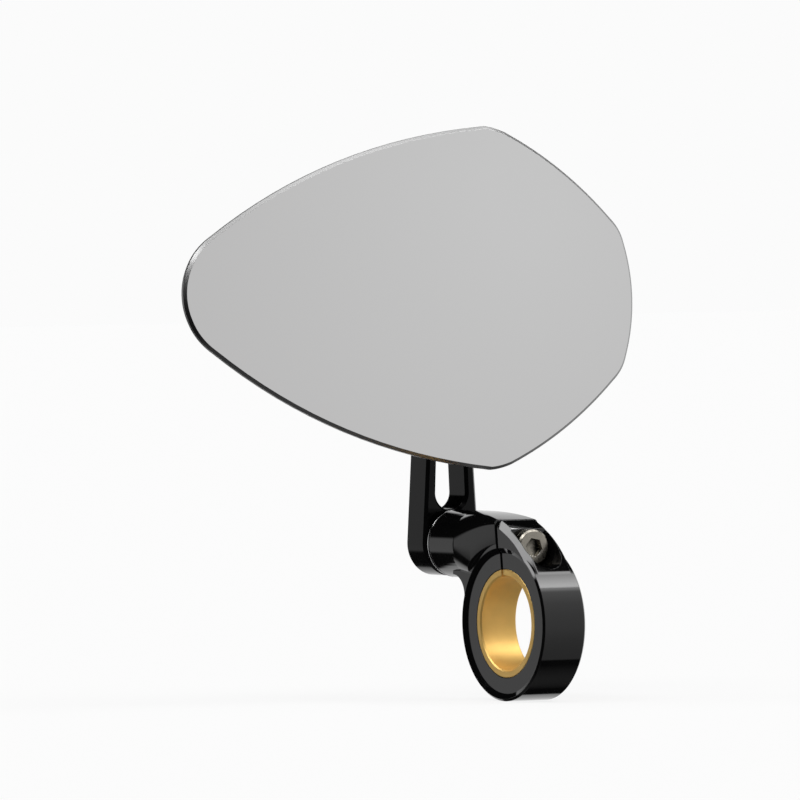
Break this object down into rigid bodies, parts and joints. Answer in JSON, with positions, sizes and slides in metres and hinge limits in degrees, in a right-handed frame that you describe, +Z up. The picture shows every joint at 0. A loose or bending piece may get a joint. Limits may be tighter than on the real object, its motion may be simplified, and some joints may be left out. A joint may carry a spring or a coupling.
{
  "type": "bar-end mirror",
  "caption": "Rimless bar-end mirror: split ring clamp with a reducer sleeve, swivelling hairpin arm and a ball-jointed polished plate with rounded corners.",
  "frame": {"origin": "on the bar axis, at the middle of the clamp ring's width", "axes": "X along the bar, +Y forwards from the rider so that the mirror faces -Y, +Z up"},
  "size_m": [0.1235, 0.0579, 0.1345],
  "materials": {
    "black_anodised": "gloss black anodised",
    "gold_anodised": "satin gold anodised, fine turning marks",
    "stainless": "satin stainless steel",
    "bright_washer": "polished stainless steel",
    "bronze": "turned bearing bronze",
    "seat_polymer": "matt black acetal",
    "shell_anodised": "satin dark grey anodised",
    "bond": "black bonding film",
    "polished_face": "mirror polished"
  },
  "bodies": {
    "clamp": {"clamp_body": "black_anodised", "reducer_sleeve": "gold_anodised", "clamp_screw": "stainless", "clamp_thread_insert": "stainless", "pivot_thread_insert": "stainless", "pivot_friction_washer": "bright_washer", "pivot_bush": "bronze", "pivot_flat_washer": "stainless", "pivot_spring_washer": "stainless", "pivot_screw": "stainless"},
    "arm": {"mirror_arm": "black_anodised", "jaw_screw": "stainless", "jaw_washer": "stainless", "jaw_nut": "stainless"},
    "seats": {"ball_seat_left": "seat_polymer", "ball_seat_right": "seat_polymer"},
    "ball": {"ball_stud": "stainless", "stud_lock_nut": "stainless"},
    "head": {"roll_washer": "bronze", "back_hub": "shell_anodised", "hub_screw_1": "stainless", "hub_screw_2": "stainless", "hub_screw_3": "stainless", "back_shell": "shell_anodised", "bond_film": "bond", "reflector": "polished_face"}
  },
  "joints": [
    {"name": "arm_swivel", "type": "hinge", "parent": "clamp", "child": "arm", "pos_m": [0, 0.0314, 0.018], "axis": [0, 1, 0], "range_deg": [-80, 80]},
    {"name": "head_tilt", "type": "hinge", "parent": "arm", "child": "seats", "pos_m": [0, 0.03071, 0.07494], "axis": [1, 0, 0], "range_deg": [-8, 18]},
    {"name": "head_pan", "type": "hinge", "parent": "seats", "child": "ball", "pos_m": [0, 0.03071, 0.07494], "axis": [0, 0, 1], "range_deg": [-15, 15]},
    {"name": "head_roll", "type": "hinge", "parent": "ball", "child": "head", "pos_m": [0, 0.03071, 0.07494], "axis": [0, 0.998, -0.0638], "range_deg": [-25, 25]}
  ]
}
